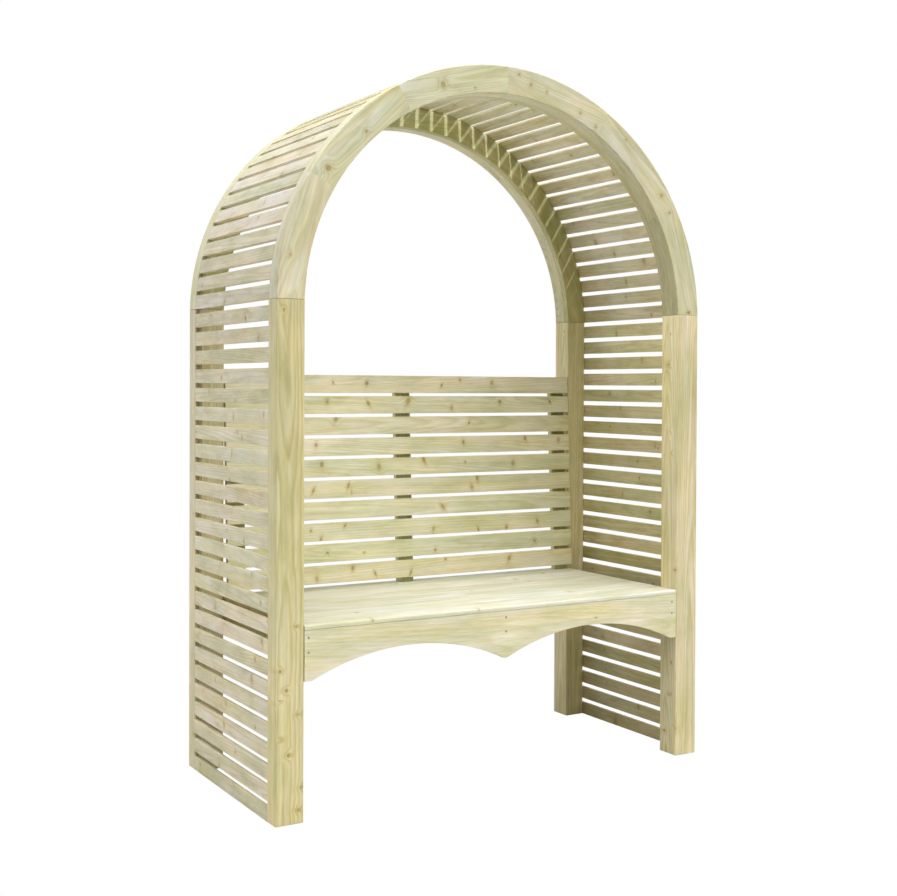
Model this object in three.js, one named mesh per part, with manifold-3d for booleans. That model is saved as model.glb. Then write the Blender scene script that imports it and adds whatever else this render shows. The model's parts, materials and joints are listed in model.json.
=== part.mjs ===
import * as THREE from "three";
import { mergeVertices } from "three/addons/utils/BufferGeometryUtils.js";
import Module from "manifold-3d";

// Arched garden arbour with a bench seat, in millimetres. +Z is up, the open front
// faces -Y, and the origin is the middle of its footprint on the ground.

// Overall sizes
const width = 1320;
const depth = 640;
const postHeight = 1290;
const archCentreDepth = 14;

// Posts, which carry the slats in a rebate down their outer inside corner
const postWidth = 75;
const postArrisRadius = 4;
const slatBearingWidth = 25;
const tenonWidth = 40;
const tenonThickness = 22;
const tenonHeight = 40;
const tenonClearance = 0.6;

// Side and roof slats, held by a thin fixing strip on the floor of the rebate
const slatWidth = 38;
const slatThickness = 9.5;
const slatEndClearance = 0.5;
const sideSlatCount = 25;
const archSlatCount = 41;
const archGroupCount = 8;
const stripThickness = 1.5;
const stripWidth = 18;
const stripWeldDepth = 0.4;

// Ribs, each laminated from a thick face layer and a thinner inner layer
const ribArrisRadius = 3;
const faceJointAngles = [30, 60, 90, 120, 150];
const innerJointAngles = [45, 75, 105, 135];
const archEndAngle = 180;
const ribStepAngle = 3.75;
const stripStepAngle = 2.5;

// Back rest, leaning back so that its top meets the front faces of the rear posts
const backSlatCount = 10;
const backSlatHeight = 52;
const backSlatGap = 9.8;
const backSlatThickness = 16;
const backSlatArrisRadius = 2;
const backLeanAngle = 3;
const backSeatGap = 15;
const backEndClearance = 2;
const battenWidth = 50;
const battenThickness = 20;
const battenTopClearance = 6;
const sideBattenInset = 8;
const centreBattenOffset = -16;

// Seat and what carries it
const seatHeight = 487;
const seatBoardCount = 6;
const seatBoardThickness = 12;
const seatBoardGap = 1.2;
const seatFrontArrisRadius = 5;
const seatBoardArrisRadius = 1;
const seatEndClearance = 1;
const seatRearInset = 57;
const apronHeight = 127;
const apronThickness = 20;
const apronEndFlatWidth = 20;
const apronCuspFlatWidth = 10;
const apronArcHeight = 64;
const apronEndClearance = 1;
const bearerHeight = 75;
const bearerWidth = 45;
const bearerBackClearance = 8;
const railThickness = 35;

// Working clearances and smoothness
const restingGap = 0.3;
const cutOverrunLength = 5;
const arrisSteps = 2;
const arcSteps = 20;

// Values that follow from the sizes above
const archRadius = width / 2;
const archCentreHeight = postHeight - archCentreDepth;
const innerRadius = archRadius - postWidth;
const halfDepth = depth / 2;
const rebateDepth = slatThickness + stripThickness;
const rebateRadius = archRadius - rebateDepth;
const slatInnerRadius = archRadius - slatThickness;
const faceLayerThickness = postWidth - slatBearingWidth;
const slatLength = depth - 2 * faceLayerThickness - 2 * slatEndClearance;
const sideSlatPitch = postHeight / sideSlatCount;
const seatUnderside = seatHeight - seatBoardThickness;
const seatRear = halfDepth - seatRearInset;
const backLean = THREE.MathUtils.degToRad(backLeanAngle);
const backPitch = backSlatHeight + backSlatGap;
const backPanelHeight = backSlatCount * backPitch - backSlatGap;
const backPanelBottom = seatHeight + backSeatGap;
const backTopFace = halfDepth - postWidth;
const openingHalf = archRadius - postWidth;

const wasm = await Module();
wasm.setup();

const arbour = new THREE.Group();

function timber(color, roughness) {
  return new THREE.MeshStandardMaterial({ color, roughness, metalness: 0 });
}

const postTimber = timber(0xd6cfa2, 0.72);
const ribTimber = timber(0xdad7ae, 0.7);
const slatTimber = timber(0xc9c19c, 0.75);
const panelTimber = timber(0xcfc897, 0.72);
const seatTimber = timber(0xe6e6cc, 0.7);
const apronTimber = timber(0xdcd7ae, 0.72);
const hiddenTimber = timber(0xb9b07c, 0.78);

function addPiece(parent, name, geometry, material) {
  const piece = new THREE.Mesh(geometry, material);
  piece.name = name;
  parent.add(piece);
  return piece;
}

// A closed geometry as a solid that can be joined and cut
function toSolid(geometry) {
  const bare = geometry.clone();
  bare.deleteAttribute("normal");
  bare.deleteAttribute("uv");
  const merged = mergeVertices(bare);
  const vertProperties = new Float32Array(merged.attributes.position.array);
  const triVerts = new Uint32Array(merged.index.array);
  return new wasm.Manifold(new wasm.Mesh({ numProp: 3, vertProperties, triVerts }));
}

function toGeometry(solid) {
  const mesh = solid.getMesh();
  const geometry = new THREE.BufferGeometry();
  geometry.setAttribute("position", new THREE.BufferAttribute(mesh.vertProperties, mesh.numProp));
  geometry.setIndex(new THREE.BufferAttribute(mesh.triVerts, 1));
  const flat = geometry.toNonIndexed();
  flat.computeVertexNormals();
  return flat;
}

function joined(geometries) {
  return toGeometry(geometries.map(toSolid).reduce((sum, next) => sum.add(next)));
}

function cutFrom(geometry, cutters) {
  const rest = cutters.map(toSolid).reduce((left, cutter) => left.subtract(cutter), toSolid(geometry));
  return toGeometry(rest);
}

// A box between two corners
function block(low, high) {
  const size = high.map((value, axis) => value - low[axis]);
  const centre = high.map((value, axis) => (value + low[axis]) / 2);
  return new THREE.BoxGeometry(...size).translate(...centre);
}

// An outline through corners [x, y, radius], each rounded by its own radius
function roundedOutline(corners) {
  const points = [];
  corners.forEach(([x, y, radius], index) => {
    const corner = new THREE.Vector2(x, y);
    if (radius === 0) {
      points.push(corner);
      return;
    }
    const [beforeX, beforeY] = corners[(index + corners.length - 1) % corners.length];
    const [afterX, afterY] = corners[(index + 1) % corners.length];
    const back = new THREE.Vector2(beforeX, beforeY).sub(corner).setLength(radius);
    const onward = new THREE.Vector2(afterX, afterY).sub(corner).setLength(radius);
    const middle = corner.clone().add(back).add(onward);
    for (let step = 0; step <= arrisSteps; step += 1) {
      const turn = (Math.PI / 2) * (step / arrisSteps);
      const from = onward.clone().multiplyScalar(-Math.cos(turn));
      const to = back.clone().multiplyScalar(-Math.sin(turn));
      points.push(middle.clone().add(from).add(to));
    }
  });
  return points;
}

function extruded(points, length) {
  return new THREE.ExtrudeGeometry(new THREE.Shape(points), { depth: length, bevelEnabled: false });
}

// A board along X: its outline is drawn in Y and Z
function boardAlongX(points, length) {
  const board = extruded(points, length);
  board.applyMatrix4(new THREE.Matrix4().makeBasis(
    new THREE.Vector3(0, 1, 0), new THREE.Vector3(0, 0, 1), new THREE.Vector3(1, 0, 0)));
  return board.translate(-length / 2, 0, 0);
}

// A section of points [radius, y] swept round the arch, with angles in degrees from +X
function archSweep(section, fromAngle, toAngle, stepAngle) {
  const steps = Math.ceil((toAngle - fromAngle) / stepAngle);
  const count = section.length;
  const positions = [];
  for (let step = 0; step <= steps; step += 1) {
    const angle = THREE.MathUtils.degToRad(fromAngle + (toAngle - fromAngle) * (step / steps));
    for (const { x: radius, y } of section) {
      positions.push(radius * Math.cos(angle), y, archCentreHeight + radius * Math.sin(angle));
    }
  }
  const faces = [];
  for (let step = 0; step < steps; step += 1) {
    for (let point = 0; point < count; point += 1) {
      const next = (point + 1) % count;
      const near = step * count;
      const far = near + count;
      faces.push(near + point, far + next, far + point, near + point, near + next, far + next);
    }
  }
  for (const [a, b, c] of THREE.ShapeUtils.triangulateShape(section, [])) {
    const last = steps * count;
    faces.push(a, c, b, last + a, last + b, last + c);
  }
  const sweep = new THREE.BufferGeometry();
  sweep.setAttribute("position", new THREE.Float32BufferAttribute(positions, 3));
  sweep.setIndex(faces);
  return sweep;
}

function angleOf(length, radius) {
  return THREE.MathUtils.radToDeg(length / radius);
}

// Posts and ribs: one end frame, drawn as the front one
function post(side) {
  const outer = archRadius;
  const inner = openingHalf;
  const front = -halfDepth;
  const back = front + postWidth;
  const corners = [
    [inner, front, postArrisRadius],
    [outer, front, postArrisRadius],
    [outer, front + faceLayerThickness, 0],
    [outer - rebateDepth, front + faceLayerThickness, 0],
    [outer - rebateDepth, back, 0],
    [inner, back, postArrisRadius],
  ];
  const points = roundedOutline(corners).map(({ x, y }) => new THREE.Vector2(side * x, y));
  const shaft = extruded(points, postHeight);
  const tenon = tenonBlock(side, -cutOverrunLength, tenonHeight, 0);
  return joined([shaft, tenon]);
}

// The stub tenon on a post, or with a clearance the mortise that takes it
function tenonBlock(side, fromTop, toTop, clearance) {
  const acrossCentre = side * (archRadius - postWidth / 2);
  const thickCentre = -halfDepth + faceLayerThickness / 2;
  const across = tenonWidth / 2 + clearance;
  const thick = tenonThickness / 2 + clearance;
  return block(
    [acrossCentre - across, thickCentre - thick, postHeight + fromTop],
    [acrossCentre + across, thickCentre + thick, postHeight + toTop + clearance]);
}

function faceSection() {
  const front = -halfDepth;
  const back = front + faceLayerThickness;
  return roundedOutline([
    [innerRadius, front, ribArrisRadius],
    [archRadius, front, ribArrisRadius],
    [archRadius, back, 0],
    [innerRadius, back, 0],
  ]);
}

function innerSection() {
  const front = -halfDepth + faceLayerThickness;
  const back = -halfDepth + postWidth;
  return roundedOutline([
    [innerRadius, front, 0],
    [rebateRadius, front, 0],
    [rebateRadius, back, 0],
    [innerRadius, back, ribArrisRadius],
  ]);
}

// Everything below the tops of the posts
function belowJoint() {
  return block(
    [-archRadius - cutOverrunLength, -halfDepth - cutOverrunLength, archCentreHeight - archRadius],
    [archRadius + cutOverrunLength, halfDepth + cutOverrunLength, postHeight]);
}

// One layer of a rib, cut into segments that meet at the given angles
function ribLayer(frame, name, section, jointAngles, mortised) {
  const halfGap = angleOf(restingGap / 2, archRadius);
  const overrun = angleOf(cutOverrunLength, archRadius);
  const limits = [-overrun, ...jointAngles, archEndAngle + overrun];
  for (let index = 0; index + 1 < limits.length; index += 1) {
    const sweep = archSweep(section, limits[index] + halfGap, limits[index + 1] - halfGap, ribStepAngle);
    const cutters = [];
    const first = index === 0;
    const last = index + 2 === limits.length;
    if (first || last) cutters.push(belowJoint());
    if (mortised && (first || last)) {
      cutters.push(tenonBlock(first ? 1 : -1, -cutOverrunLength, tenonHeight, tenonClearance));
    }
    const segment = cutters.length > 0 ? cutFrom(sweep, cutters) : sweep;
    addPiece(frame, `${name}_${index + 1}`, segment, ribTimber);
  }
}

function endFrame(label, postNames) {
  const frame = new THREE.Group();
  addPiece(frame, postNames[0], post(-1), postTimber);
  addPiece(frame, postNames[1], post(1), postTimber);
  ribLayer(frame, `${label}_rib_face`, faceSection(), faceJointAngles, true);
  ribLayer(frame, `${label}_rib_inner`, innerSection(), innerJointAngles, false);
  return frame;
}

// One slat lying flat on the fixing strips, across the arbour
function slatBlock(fromRadius) {
  return block(
    [fromRadius, -slatLength / 2, -slatWidth / 2],
    [archRadius, slatLength / 2, slatWidth / 2]);
}

// Fixing strips run down both rebates of a side and join its slats
function sideSlats(side) {
  const pieces = [];
  for (let index = 0; index < sideSlatCount; index += 1) {
    pieces.push(slatBlock(slatInnerRadius).translate(0, 0, index * sideSlatPitch + slatWidth / 2));
  }
  const top = (sideSlatCount - 1) * sideSlatPitch + slatWidth;
  for (const end of [-1, 1]) {
    const stripCentre = end * (slatLength / 2 - slatBearingWidth / 2);
    pieces.push(block(
      [rebateRadius, stripCentre - stripWidth / 2, 0],
      [slatInnerRadius + stripWeldDepth, stripCentre + stripWidth / 2, top]));
  }
  const panel = joined(pieces);
  return side > 0 ? panel : panel.rotateZ(Math.PI);
}

// A run of roof slats on two curved fixing strips
function archSlats(firstAngle, pitchAngle, count) {
  const pieces = [];
  for (let index = 0; index < count; index += 1) {
    const turn = THREE.MathUtils.degToRad(firstAngle + index * pitchAngle);
    const slat = slatBlock(slatInnerRadius + restingGap).rotateY(-turn);
    pieces.push(slat.translate(0, 0, archCentreHeight));
  }
  const reachAngle = angleOf(slatWidth / 2 - stripWeldDepth, archRadius);
  const fromAngle = firstAngle - reachAngle;
  const toAngle = firstAngle + (count - 1) * pitchAngle + reachAngle;
  for (const end of [-1, 1]) {
    const centre = end * (slatLength / 2 - slatBearingWidth / 2);
    const section = roundedOutline([
      [rebateRadius + restingGap, centre - stripWidth / 2, 0],
      [slatInnerRadius + restingGap + stripWeldDepth, centre - stripWidth / 2, 0],
      [slatInnerRadius + restingGap + stripWeldDepth, centre + stripWidth / 2, 0],
      [rebateRadius + restingGap, centre + stripWidth / 2, 0],
    ]);
    pieces.push(archSweep(section, fromAngle, toAngle, stripStepAngle));
  }
  return joined(pieces);
}

function addRoof() {
  const jointAngle = THREE.MathUtils.radToDeg(Math.asin(archCentreDepth / archRadius));
  const slatAngle = THREE.MathUtils.radToDeg(2 * Math.atan(slatWidth / 2 / archRadius));
  const roofAngle = archEndAngle - 2 * jointAngle;
  const gapAngle = (roofAngle - archSlatCount * slatAngle) / (archSlatCount - 1);
  const pitchAngle = slatAngle + gapAngle;
  for (let group = 0; group < archGroupCount; group += 1) {
    const from = Math.floor(group * archSlatCount / archGroupCount);
    const to = Math.floor((group + 1) * archSlatCount / archGroupCount);
    const firstAngle = jointAngle + slatAngle / 2 + from * pitchAngle;
    addPiece(arbour, `arch_slats_${group + 1}`, archSlats(firstAngle, pitchAngle, to - from), slatTimber);
  }
}

// A point of the back rest, from its height up the slope and its distance behind the front
function onBack(up, behind) {
  return new THREE.Vector2(
    backTopFace - (backPanelHeight - up) * Math.sin(backLean) + behind * Math.cos(backLean),
    backPanelBottom + up * Math.cos(backLean) - behind * Math.sin(backLean));
}

function backSlat(index) {
  const bottom = index * backPitch;
  const top = bottom + backSlatHeight;
  const outline = roundedOutline([
    [0, bottom, backSlatArrisRadius],
    [backSlatThickness, bottom, backSlatArrisRadius],
    [backSlatThickness, top, backSlatArrisRadius],
    [0, top, backSlatArrisRadius],
  ]);
  const length = 2 * (openingHalf - backEndClearance);
  return boardAlongX(outline.map(({ x, y }) => onBack(y, x)), length);
}

// A batten behind the slats, cut level where it stands on the seat
function backBatten(offset) {
  const front = backSlatThickness + restingGap;
  const rear = front + battenThickness;
  const top = backPanelHeight - battenTopClearance;
  const foot = seatHeight + restingGap;
  const levelAt = (behind) => (foot + behind * Math.sin(backLean) - backPanelBottom) / Math.cos(backLean);
  const outline = [
    onBack(levelAt(front), front),
    onBack(levelAt(rear), rear),
    onBack(top, rear),
    onBack(top, front),
  ];
  return boardAlongX(outline, battenWidth).translate(offset, 0, 0);
}

function addBackRest() {
  for (let index = 0; index < backSlatCount; index += 1) {
    addPiece(arbour, `back_slat_${index + 1}`, backSlat(index), panelTimber);
  }
  const endOffset = openingHalf - backEndClearance - sideBattenInset - battenWidth / 2;
  addPiece(arbour, "back_batten_left", backBatten(-endOffset), hiddenTimber);
  addPiece(arbour, "back_batten_centre", backBatten(centreBattenOffset), hiddenTimber);
  addPiece(arbour, "back_batten_right", backBatten(endOffset), hiddenTimber);
}

// The boards run back under the back rest as far as the rear rail
function addSeatBoards() {
  const pitch = (seatRear + halfDepth + seatBoardGap) / seatBoardCount;
  const length = 2 * (openingHalf - seatEndClearance);
  for (let index = 0; index < seatBoardCount; index += 1) {
    const front = -halfDepth + index * pitch;
    const back = front + pitch - seatBoardGap;
    const outline = roundedOutline([
      [front, seatUnderside, 0],
      [back, seatUnderside, 0],
      [back, seatHeight, seatBoardArrisRadius],
      [front, seatHeight, index === 0 ? seatFrontArrisRadius : seatBoardArrisRadius],
    ]);
    addPiece(arbour, `seat_board_${index + 1}`, boardAlongX(outline, length), seatTimber);
  }
}

// The apron has two shallow arcs that meet in a point at the middle
function apron() {
  const end = openingHalf - apronEndClearance;
  const bottom = seatUnderside - apronHeight;
  const arcStart = end - apronEndFlatWidth;
  const cusp = apronCuspFlatWidth / 2;
  const halfChord = (arcStart - cusp) / 2;
  const arcRadius = (halfChord * halfChord + apronArcHeight * apronArcHeight) / (2 * apronArcHeight);
  const centre = new THREE.Vector2((arcStart + cusp) / 2, bottom + apronArcHeight - arcRadius);
  const halfTurn = Math.asin(halfChord / arcRadius);
  const rightArc = [];
  for (let step = 0; step <= arcSteps; step += 1) {
    const turn = halfTurn * (1 - 2 * (step / arcSteps));
    rightArc.push(new THREE.Vector2(
      centre.x + arcRadius * Math.sin(turn), centre.y + arcRadius * Math.cos(turn)));
  }
  const leftArc = rightArc.map(({ x, y }) => new THREE.Vector2(-x, y)).reverse();
  const points = [
    new THREE.Vector2(-end, bottom),
    new THREE.Vector2(-end, seatUnderside),
    new THREE.Vector2(end, seatUnderside),
    new THREE.Vector2(end, bottom),
    ...rightArc,
    ...leftArc,
  ];
  return extruded(points, apronThickness).rotateX(Math.PI / 2).translate(0, apronThickness - halfDepth, 0);
}

// Bearers under the seat: one along each side, one in the middle and a rail at the back
function addSeatFrame() {
  const top = seatUnderside;
  const bottom = top - bearerHeight;
  const front = -halfDepth + apronThickness;
  const railFront = seatRear - railThickness;
  const sideInner = openingHalf - bearerWidth;
  for (const [name, side] of [["side_bearer_left", -1], ["side_bearer_right", 1]]) {
    const xs = [side * sideInner, side * openingHalf].sort((a, b) => a - b);
    const bearer = block([xs[0], front, bottom], [xs[1], halfDepth - bearerBackClearance, top]);
    addPiece(arbour, name, bearer, hiddenTimber);
  }
  const half = bearerWidth / 2;
  addPiece(arbour, "centre_bearer", block([-half, front, bottom], [half, railFront, top]), hiddenTimber);
  const rail = block([-sideInner, railFront, bottom], [sideInner, seatRear, top]);
  addPiece(arbour, "rear_rail", rail, hiddenTimber);
  addPiece(arbour, "seat_apron", apron(), apronTimber);
}

const frontFrame = endFrame("front", ["post_front_left", "post_front_right"]);
const backFrame = endFrame("back", ["post_back_right", "post_back_left"]);
backFrame.rotation.z = Math.PI;
arbour.add(frontFrame, backFrame);
addPiece(arbour, "side_slats_left", sideSlats(-1), slatTimber);
addPiece(arbour, "side_slats_right", sideSlats(1), slatTimber);
addRoof();
addBackRest();
addSeatBoards();
addSeatFrame();

export default arbour;
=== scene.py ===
"""Arched garden arbour with a bench seat, dressed in pale pressure-treated softwood. Metres, +Z up."""
import json
import math
import random

import bmesh
import bpy
from mathutils import Matrix, Vector

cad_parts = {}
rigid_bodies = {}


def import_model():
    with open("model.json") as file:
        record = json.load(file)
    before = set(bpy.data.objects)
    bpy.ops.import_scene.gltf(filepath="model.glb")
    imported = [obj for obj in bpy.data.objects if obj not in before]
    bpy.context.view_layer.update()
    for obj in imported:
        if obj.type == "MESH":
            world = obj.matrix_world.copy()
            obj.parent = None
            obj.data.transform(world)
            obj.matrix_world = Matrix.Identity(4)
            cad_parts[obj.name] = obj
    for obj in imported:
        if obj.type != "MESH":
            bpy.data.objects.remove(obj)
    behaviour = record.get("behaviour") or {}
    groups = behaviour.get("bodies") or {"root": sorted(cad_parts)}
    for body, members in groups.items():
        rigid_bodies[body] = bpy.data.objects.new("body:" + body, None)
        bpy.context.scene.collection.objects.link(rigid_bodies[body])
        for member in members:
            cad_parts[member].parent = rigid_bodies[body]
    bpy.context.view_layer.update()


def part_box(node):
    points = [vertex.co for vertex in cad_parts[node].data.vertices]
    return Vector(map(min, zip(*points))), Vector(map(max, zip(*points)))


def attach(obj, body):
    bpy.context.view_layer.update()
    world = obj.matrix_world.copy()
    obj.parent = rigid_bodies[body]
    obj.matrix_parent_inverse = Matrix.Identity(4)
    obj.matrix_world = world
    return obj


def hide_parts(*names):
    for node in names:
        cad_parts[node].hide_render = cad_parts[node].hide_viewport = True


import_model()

MM = 0.001

# Places taken from the frame
POST_LOW, POST_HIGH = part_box("post_front_right")
SLATS_LOW, SLATS_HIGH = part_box("side_slats_right")
APRON_LOW, APRON_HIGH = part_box("seat_apron")
HALF_WIDTH = POST_HIGH.x
HALF_DEPTH = -POST_LOW.y
POST_WIDTH = POST_HIGH.x - POST_LOW.x
OPENING_HALF = POST_LOW.x

# Sizes of the timber that the frame's boxes don't give
TENON_HEIGHT = 40 * MM
ARCH_CENTRE_DEPTH = 14 * MM
FACE_LAYER = 50 * MM
PLY = 25 * MM
SLAT_WIDTH = 38 * MM
SLAT_THICKNESS = 9.5 * MM
STRIP_WIDTH = 18 * MM
STRIP_THICKNESS = 1.5 * MM
SLAT_BEARING = 25 * MM
SIDE_SLATS = 25
SLATS_BELOW_SEAT = 9
ROOF_SLATS = 41
ROOF_GROUPS = 8
FACE_JOINTS = (30, 60, 90, 120, 150)
INNER_JOINTS = (45, 75, 105, 135)
JOINT_GAP = 0.3 * MM
SEGMENT_GAP = 0.03 * MM
BACK_SLATS = 10
BACK_SLAT_HEIGHT = 52 * MM
BACK_SLAT_THICKNESS = 16 * MM
BACK_LEAN = math.radians(3)
BATTEN_THICKNESS = 20 * MM
SEAT_BOARDS = 6
APRON_END_FLAT = 20 * MM
APRON_CUSP_FLAT = 10 * MM
APRON_ARC_HEIGHT = 64 * MM
APRON_TOP_GAP = 0.9 * MM

# Rounding of the arrises
POST_ARRIS = 4 * MM
RIB_ARRIS = 3 * MM
SLAT_ARRIS = 1.2 * MM
BACK_ARRIS = 2 * MM
SEAT_FRONT_ARRIS = 5 * MM
BOARD_ARRIS = 1 * MM
HIDDEN_ARRIS = 1.5 * MM
APRON_ARRIS = 1.5 * MM
SEAT_LOWER_ARRIS = 0.6 * MM
FOOT_ARRIS = 2 * MM
SHOULDER_ARRIS = 0.8 * MM
JOINT_ARRIS = 0.05 * MM
GLUED_ARRIS = 0.2 * MM
CONTACT_ARRIS = 0.4 * MM
STRIP_ARRIS = 0.3 * MM

# How far a slat may bow or crook
SLAT_WARP = 0.3 * MM

# Smoothness: steps along the boards, round the arch in degrees, up a batten and round an arris
BOARD_STEP = 12 * MM
SEAT_STEP = 15 * MM
RIB_STEP = 1
STRIP_STEP = 2
BATTEN_STEP_SHARE = 0.05
ARRIS_STEPS = 3
POST_ARRIS_STEPS = 4
END_ARRIS_STEPS = 2
SHARP_ANGLE = math.radians(50)
SCREW_SIDES = 20
FLOOR_SIDES = 96

# Screw heads in the apron, with their places across and up in millimetres
SCREW_RADIUS = 3.2 * MM
SCREW_DEPTH = 1 * MM
SCREW_PROUD = 0.2 * MM
APRON_SCREWS = ((-573, 456), (-573, 419), (0, 457), (0, 419), (569, 453), (569, 420))

POST_HEIGHT = POST_HIGH.z - TENON_HEIGHT
ARCH_Z = POST_HEIGHT - ARCH_CENTRE_DEPTH
INNER_RADIUS = OPENING_HALF
REBATE_RADIUS = HALF_WIDTH - SLAT_THICKNESS - STRIP_THICKNESS
SLAT_LENGTH = SLATS_HIGH.y - SLATS_LOW.y
SIDE_PITCH = POST_HEIGHT / SIDE_SLATS
JOINT_ANGLE = math.asin(ARCH_CENTRE_DEPTH / HALF_WIDTH)
SLAT_ANGLE = 2 * math.atan(SLAT_WIDTH / 2 / HALF_WIDTH)
ROOF_PITCH = SLAT_ANGLE + (math.pi - 2 * JOINT_ANGLE - ROOF_SLATS * SLAT_ANGLE) / (ROOF_SLATS - 1)

X, Y, Z = Vector((1, 0, 0)), Vector((0, 1, 0)), Vector((0, 0, 1))

# Knots that show, each with its radius, in millimetres. On the slats of the left side, seen from
# outside, and of the right side and the roof, seen from inside: the slat's number, then places along
# it and above its middle line
OUTER_KNOTS = {
    23: ((-203, -9, 4),), 21: ((60, -4, 3),), 20: ((159, 9, 2), (-42, -14, 2.5)),
    19: ((-30, -4, 2.5), (-240, 6, 3)), 18: ((-59, 9, 2.5), (-92, -5, 2.5)),
    13: ((15, 8, 2), (-107, -12, 2.5)), 10: ((-222, 1, 2.5),), 7: ((-186, 10, 4),), 6: ((-163, 9, 4),),
    5: ((103, 6, 2),), 4: ((21, 11, 3), (-187, -9, 3))}
INNER_KNOTS = {
    0: ((63, -14, 7),), 1: ((-57, 12, 3),), 5: ((134, -5, 4),), 14: ((33, -3, 2.5),), 15: ((-55, 3, 3),),
    16: ((-46, 2, 3),), 17: ((-133, 4, 3), (-147, -6, 2.5)), 19: ((47, 12, 3),), 20: ((104, 4, 3.5),),
    21: ((-132, -8, 3),), 22: ((-64, 8, 4),), 24: ((69, -10, 5),), 25: ((79, 8, 2.5), (-111, -9, 4)),
    26: ((13, 4, 3),), 27: ((2, 3, 3.5),), 28: ((-107, 12, 8),), 30: ((109, -12, 7),), 34: ((-141, 1, 4),),
    35: ((-182, -9, 5),), 38: ((67, -12, 5),), 40: ((-86, 12, 4),), 41: ((-61, 10, 4),), 43: ((129, 10, 5),)}

# On the slats of the back rest, from the lowest: places from the middle and above the middle line
PANEL_KNOTS = (
    ((-315, -10, 4.5), (-200, 13, 4.5), (-127, -7, 3), (-8, -12, 3), (113, 20, 3.5), (343, 8, 4.5)),
    ((-280, 1, 3.5), (-162, -6, 2.5), (78, -11, 3.5), (440, -4, 5)),
    ((-331, 6, 3), (-300, -20, 3), (-223, 15, 3), (73, -9, 4), (232, -19, 3), (335, -17, 4), (452, -3, 4)),
    ((107, -4, 5), (-420, 12, 3)),
    ((-321, -2, 3.5), (-209, 9, 3.5), (-204, -8, 4.5), (212, -10, 4.5), (232, 20, 5)),
    ((-293, 12, 5), (-291, -13, 5), (-108, 1, 6), (44, 18, 4.5), (190, 7, 2.5), (365, -1, 6)),
    ((-310, 7, 4.5), (185, 7, 4), (413, 16, 4), (541, 8, 4)),
    ((-245, 21, 5.5), (207, 5, 3.5)),
    ((-272, 10, 4.5), (-139, 5, 4), (-5, 11, 6.5), (146, -10, 4), (321, 8, 5), (511, 8, 3)),
    ((-252, 5, 3), (-143, 3, 5), (112, -2, 3), (178, 15, 3), (293, 7, 5)))

# On the front faces of the posts and the seat's edge: piece, then places across and up
FRONT_KNOTS = {
    "post_front_left": ((-607, 487, 3), (-632, 332, 4), (-648, 310, 3), (-601, 270, 3.5), (-645, 213, 3),
                        (-626, 172, 4), (-599, 172, 3), (-590, 89, 4), (-600, 34, 4)),
    "post_front_right": ((640, 202, 3.5), (646, 1235, 3), (635, 949, 3), (620, 885, 3)),
    "seat_board_1": ((-398, 484, 2.5), (-84, 486, 2))}
# On the inner face of the right front post: places behind the front and up
JAMB_KNOTS = ((6, 544, 3), (52, 64, 4), (6, 80, 4), (62, 163, 3), (31, 175, 3.5), (22, 270, 3.5),
              (42, 1145, 4.5))
# On the outer face of the left front post
CHEEK_KNOTS = ((33, 1263, 3.5), (14, 380, 3.5), (12, 300, 3))
# On the back right post's front face: places across and up
REAR_KNOTS = ((627, 1259, 3), (620, 995, 3), (612, 640, 3))
# On the front rib's face: segment, then angle from the right, distance from the arch's centre
ARCH_KNOTS = {
    1: ((29.2, 632, 3.5), (2, 625, 4)), 2: ((34.3, 631, 4.5), (52, 640, 2.5)),
    3: ((61.5, 601, 3), (67.3, 608, 3.5), (78.5, 619, 3), (83.4, 624, 4), (87, 644, 3)),
    4: ((108.8, 621, 6), (100, 600, 2)), 5: ((146.9, 626, 7), (133.5, 610, 4))}


def placed_knots():
    """Every knot above as a point and a radius, by piece."""
    knots = {name: [((x * MM, -HALF_DEPTH, z * MM), radius * MM) for x, z, radius in marks]
             for name, marks in FRONT_KNOTS.items()}
    knots["post_front_right"] += [((OPENING_HALF, -HALF_DEPTH + y * MM, z * MM), radius * MM)
                                  for y, z, radius in JAMB_KNOTS]
    knots["post_front_left"] += [((-HALF_WIDTH, -HALF_DEPTH + y * MM, z * MM), radius * MM)
                                 for y, z, radius in CHEEK_KNOTS]
    knots["post_back_right"] = [((x * MM, HALF_DEPTH - POST_WIDTH, z * MM), radius * MM)
                                for x, z, radius in REAR_KNOTS]
    for segment, marks in ARCH_KNOTS.items():
        knots[f"front_rib_face_{segment}"] = [
            (arch_point(reach * MM, -HALF_DEPTH, math.radians(angle)), radius * MM)
            for angle, reach, radius in marks]
    return knots


def arch_point(radius, y, angle):
    return Vector((radius * math.cos(angle), y, ARCH_Z + radius * math.sin(angle)))


KNOTS = placed_knots()

# How far from a board's middle the trunk's pith was, and by what shares that may differ; how far the
# board may be turned round it, run out of the grain's line and be shifted along the noises, in metres
PITH = 55 * MM
POST_PITH = 30 * MM
SEAT_PITH = 70 * MM
APRON_PITH = 90 * MM
PITH_SHARES = (0.55, 1.6)
SWING = 0.9
SLAT_SWING = 1.2
APRON_SWING = 0.3
LARGEST_RUNOUT = 0.03
LONGEST_SHIFT = 40

# Seeded knots: how far along the trunk, how far apart, how large, how far round the pith, how dark
LOG_REACH = 1.5
KNOT_SPACING = 450 * MM
APRON_KNOT_SPACING = 2000 * MM
SPACING_SHARES = (0.35, 1.9)
KNOT_SIZE = 3.5 * MM
SIZE_SHARES = (0.4, 1.3)
KNOT_ANGLE_SPREAD = 0.45
KNOT_STRENGTHS = (0.3, 0.9)

# How strong the dark tails across the grain at a knot may be
TAIL_STRENGTH = 0.3
PANEL_TAIL_STRENGTH = 1.4


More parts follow.
